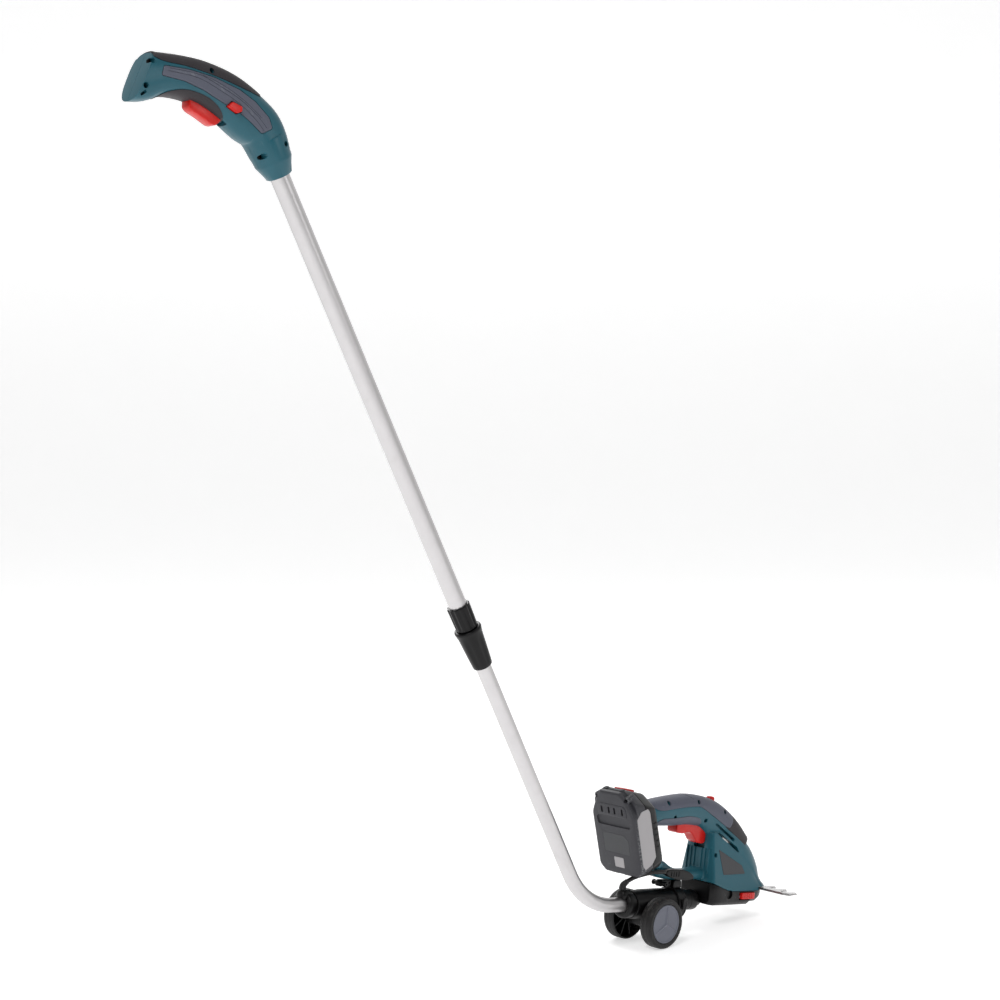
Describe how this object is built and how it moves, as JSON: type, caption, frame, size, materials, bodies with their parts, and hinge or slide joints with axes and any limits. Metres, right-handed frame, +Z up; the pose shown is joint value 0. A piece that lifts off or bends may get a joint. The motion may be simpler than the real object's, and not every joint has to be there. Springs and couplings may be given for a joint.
{
  "type": "cordless grass shear on a wheeled pole",
  "caption": "Cordless grass shear clamped on a two-wheeled trolley, with a telescopic pole and a trigger handle at the top.",
  "frame": {"origin": "on the floor, at the middle of the bounding box", "axes": "+X towards the blades, +Z up from the floor, +Y to the tool's left"},
  "size_m": [1.0262, 0.156, 1.0706],
  "materials": {
    "teal": "fine moulded grain",
    "slate": "soft overmould, matt",
    "charcoal": "soft overmould, matt",
    "black": "moulded, satin",
    "rubber": "matt",
    "red": "semi gloss",
    "battery": "moulded grain",
    "label": "satin film",
    "aluminium": "satin anodised",
    "steel": "ground",
    "copper": "sleeved cell block"
  },
  "bodies": {
    "chassis": {"trolley_housing": "black", "rear_collar": "black", "cable_grommet": "rubber", "front_barrel": "black", "clamp_band": "black", "cradle": "black", "cradle_bolt": "black", "axle": "steel", "lower_tube": "aluminium", "shear_shell_right": "teal", "shear_shell_left": "teal", "top_grip_shear": "slate", "nose_strip": "charcoal", "lower_grip": "slate", "base_shoe": "black", "side_plate_right": "label", "side_plate_left": "label", "motor": "steel", "gear_plate": "steel", "gear_spindle": "steel", "fixed_blade": "steel", "blade_pivot_bolt": "steel", "shear_switch": "black", "battery_rail": "black", "terminal_block": "black", "cable_plug": "black", "control_cable": "rubber"},
    "wheel_right": {"tyre_right": "rubber", "hub_right": "black", "hub_cap_right": "slate"},
    "wheel_left": {"tyre_left": "rubber", "hub_left": "black", "hub_cap_left": "slate"},
    "pole_upper": {"upper_tube": "aluminium", "clamp_collet": "black", "grip_sleeve": "charcoal", "handle_shell_right": "teal", "handle_shell_left": "teal", "side_panel_right": "slate", "side_panel_left": "slate", "top_grip_pole": "charcoal", "under_grip": "charcoal", "handle_switch": "black"},
    "nut": {"twist_nut": "charcoal"},
    "pole_trigger": {"handle_trigger": "red"},
    "pole_lock": {"handle_lock_button": "red"},
    "shear_trigger_lever": {"shear_trigger": "red"},
    "lock_off": {"lock_off_button": "red"},
    "blade_lock_r": {"blade_lock_right": "red"},
    "blade_lock_l": {"blade_lock_left": "red"},
    "battery": {"battery_rear_case": "battery", "battery_front_case": "black", "battery_cells": "copper", "battery_sticker_right": "label", "battery_sticker_left": "label"},
    "release": {"battery_release": "red"},
    "blade": {"moving_blade": "steel"},
    "pinion": {"motor_pinion": "steel"},
    "gear": {"drive_gear": "steel"},
    "latch": {"clamp_latch": "black"}
  },
  "joints": [
    {"name": "wheel_right_spin", "type": "hinge", "parent": "chassis", "child": "wheel_right", "pos_m": [0.2609, -0.0327, 0.0327], "axis": [0, 1, 0], "continuous": true},
    {"name": "wheel_left_spin", "type": "hinge", "parent": "chassis", "child": "wheel_left", "pos_m": [0.2609, 0.0327, 0.0327], "axis": [0, 1, 0], "continuous": true},
    {"name": "pole_telescope", "type": "slide", "parent": "chassis", "child": "pole_upper", "axis": [-0.4701, 0, 0.8826], "range_m": [-0.25, 0.1]},
    {"name": "twist_nut_turn", "type": "hinge", "parent": "pole_upper", "child": "nut", "pos_m": [-0.0266, 0, 0.396], "axis": [-0.4701, 0, 0.8826], "range_deg": [0, 90]},
    {"name": "handle_trigger_pull", "type": "hinge", "parent": "pole_upper", "child": "pole_trigger", "pos_m": [-0.4381, 0, 1.024], "axis": [0, -1, 0], "range_deg": [0, 6], "stiffness_Nm_per_rad": 1.5, "springref_deg": -5.73},
    {"name": "handle_lock_push", "type": "slide", "parent": "pole_upper", "child": "pole_lock", "axis": [0, 1, 0], "range_m": [-0.004, 0.004], "stiffness_N_per_m": 600},
    {"name": "shear_trigger_pull", "type": "hinge", "parent": "chassis", "child": "shear_trigger_lever", "pos_m": [0.32407, 0, 0.15027], "axis": [0, -1, 0], "range_deg": [0, 6], "stiffness_Nm_per_rad": 1.5, "springref_deg": -8.59},
    {"name": "lock_off_press", "type": "slide", "parent": "chassis", "child": "lock_off", "axis": [-0.1564, 0, -0.9877], "range_m": [0, 0.003], "stiffness_N_per_m": 500, "springref_m": -0.002},
    {"name": "blade_lock_right_press", "type": "slide", "parent": "chassis", "child": "blade_lock_r", "axis": [0, 1, 0], "range_m": [0, 0.003], "stiffness_N_per_m": 500, "springref_m": -0.002},
    {"name": "blade_lock_left_press", "type": "slide", "parent": "chassis", "child": "blade_lock_l", "axis": [0, -1, 0], "range_m": [0, 0.003], "stiffness_N_per_m": 500, "springref_m": -0.002},
    {"name": "battery_slide", "type": "slide", "parent": "chassis", "child": "battery", "axis": [-0.2045, 0, 0.9789], "range_m": [0, 0.095]},
    {"name": "battery_release_press", "type": "slide", "parent": "battery", "child": "release", "axis": [0.2045, 0, -0.9789], "range_m": [0, 0.003], "stiffness_N_per_m": 500, "springref_m": -0.002},
    {"name": "moving_blade_swing", "type": "hinge", "parent": "chassis", "child": "blade", "pos_m": [0.45977, 0, 0.0418], "axis": [0.1564, 0, 0.9877], "range_deg": [-5, 5]},
    {"name": "drive_gear_spin", "type": "hinge", "parent": "chassis", "child": "gear", "pos_m": [0.43003, 0, 0.05856], "axis": [0.1564, 0, 0.9877], "continuous": true},
    {"name": "motor_pinion_spin", "type": "hinge", "parent": "chassis", "child": "pinion", "pos_m": [0.40534, 0, 0.06247], "axis": [0.1564, 0, 0.9877], "continuous": true},
    {"name": "clamp_latch_open", "type": "hinge", "parent": "chassis", "child": "latch", "pos_m": [0.31603, -0.024, 0.03561], "axis": [0.9877, 0, -0.1564], "range_deg": [0, 60]}
  ],
  "couplings": [
    {"joint": "motor_pinion_spin", "follows": "drive_gear_spin", "ratio": -3}
  ]
}
